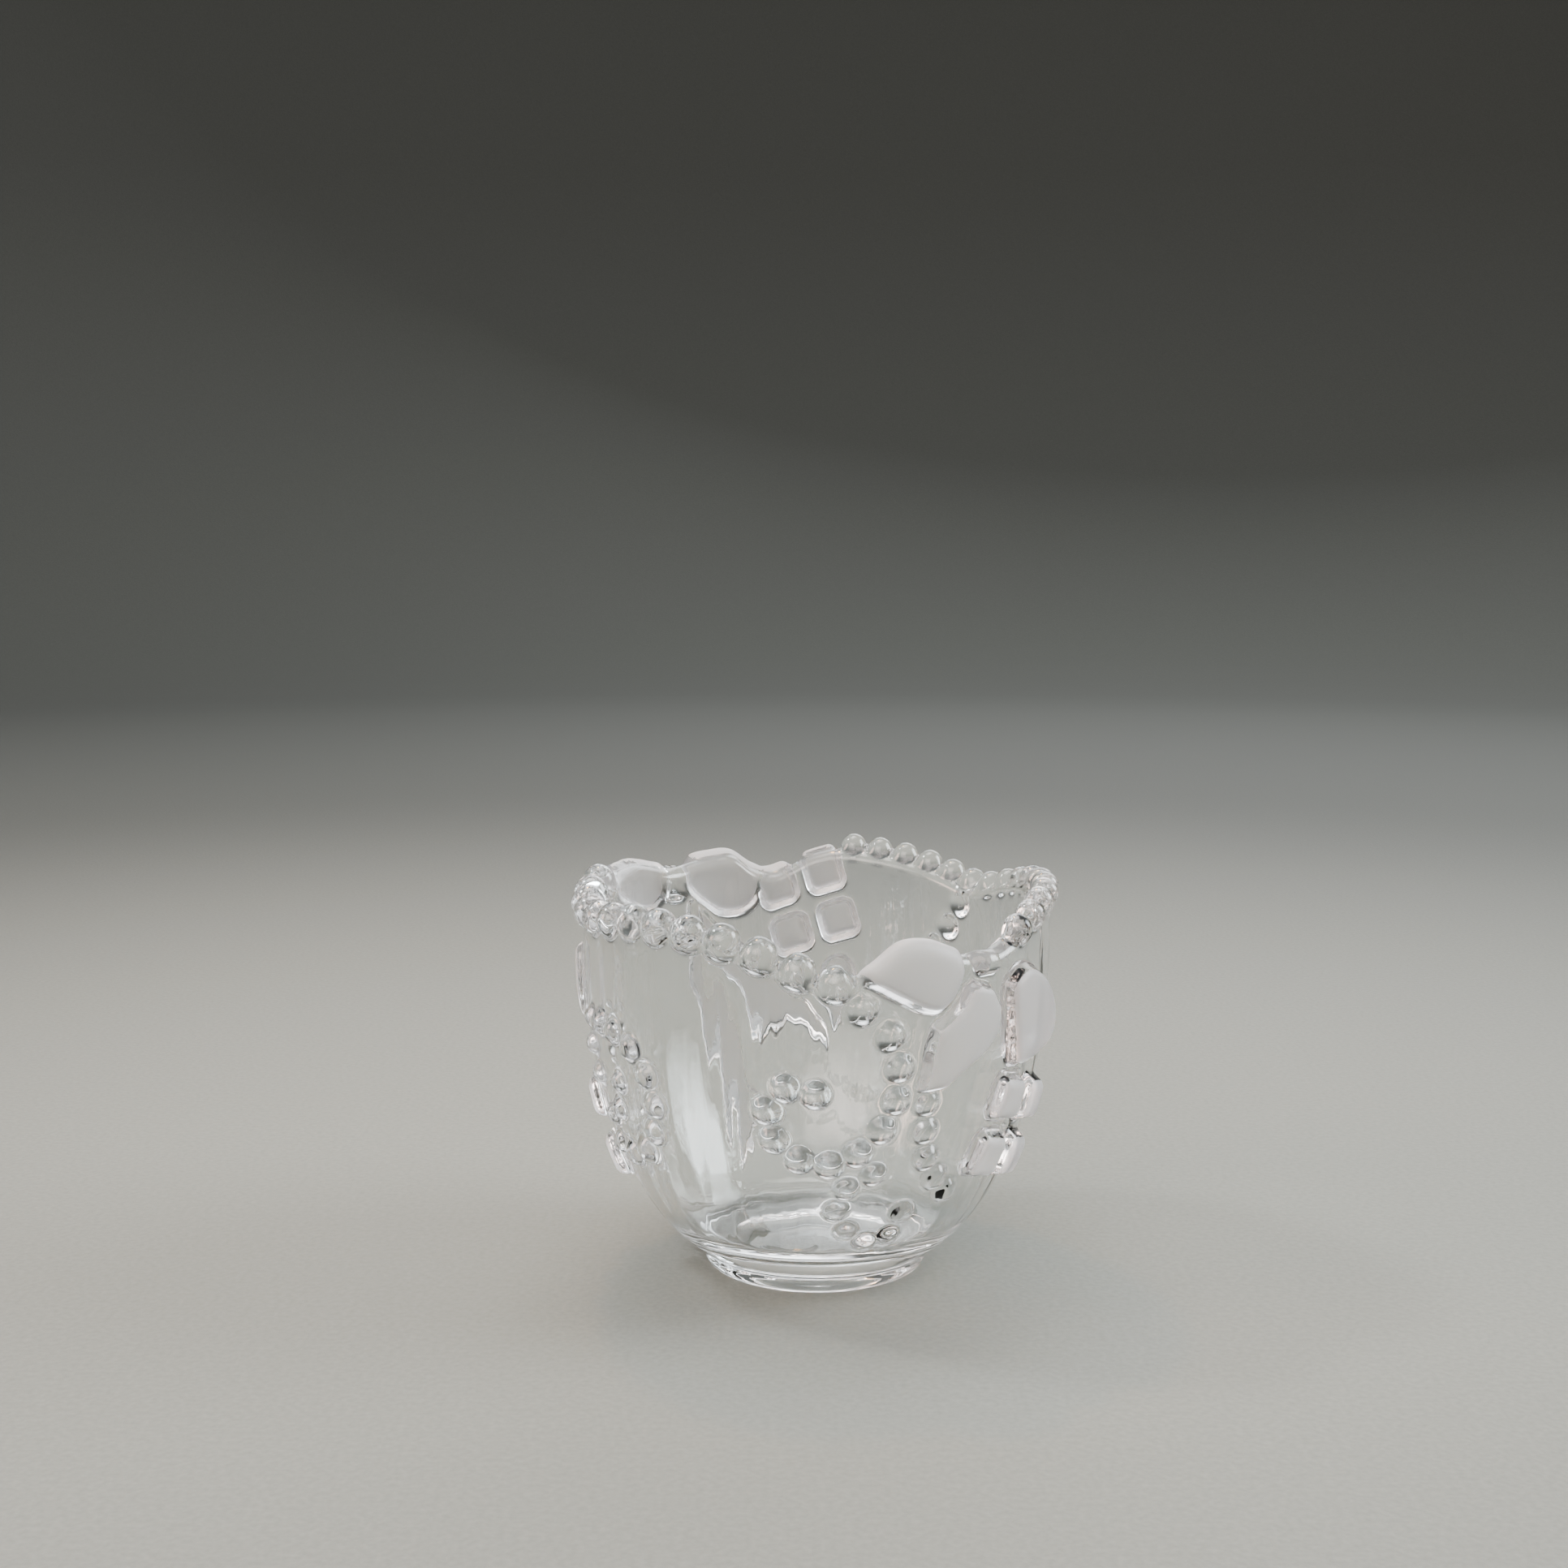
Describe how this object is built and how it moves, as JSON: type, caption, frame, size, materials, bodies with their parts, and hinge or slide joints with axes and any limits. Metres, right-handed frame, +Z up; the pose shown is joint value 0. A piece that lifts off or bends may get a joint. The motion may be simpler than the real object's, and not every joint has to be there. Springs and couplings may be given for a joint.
{
  "type": "tealight holder",
  "caption": "Clear pressed-glass cup for one tealight: thick bowl on a low foot, wavy beaded rim, raised beads, frosted bows and gift boxes.",
  "frame": {"origin": "middle of the foot's underside, on the table's surface and on the bowl's axis", "axes": "+Z up along the bowl's axis, -Y towards the front, +X to the right as seen from the front"},
  "size_m": [0.0859, 0.0873, 0.0716],
  "materials": {
    "clear_glass": "colourless pressed glass, fire-polished to a smooth gloss, with soft rounded edges",
    "frosted_glass": "the same glass, satin frosted on the flats of the bows, tails and gift boxes and clear on their edges"
  },
  "bodies": {
    "root": {"foot": "clear_glass", "bowl": "clear_glass", "front_rim_beads": "clear_glass", "left_rim_beads": "clear_glass", "back_rim_beads": "clear_glass", "right_rim_beads": "clear_glass", "scroll_beads": "clear_glass", "ring_beads": "clear_glass", "drop_beads": "clear_glass", "left_curl_beads": "clear_glass", "left_drop_beads": "clear_glass", "left_fringe_beads": "clear_glass", "back_curl_beads": "clear_glass", "front_bow_knot": "clear_glass", "front_bow_left_loop": "frosted_glass", "front_bow_right_loop": "frosted_glass", "front_bow_tail": "frosted_glass", "back_bow_knot": "clear_glass", "back_bow_left_loop": "frosted_glass", "back_bow_right_loop": "frosted_glass", "back_bow_long_tail": "frosted_glass", "back_bow_forked_tail": "frosted_glass", "right_gift": "frosted_glass", "back_gift": "frosted_glass", "left_gift": "frosted_glass", "left_leaf": "frosted_glass", "back_pendant": "frosted_glass"}
  },
  "joints": []
}
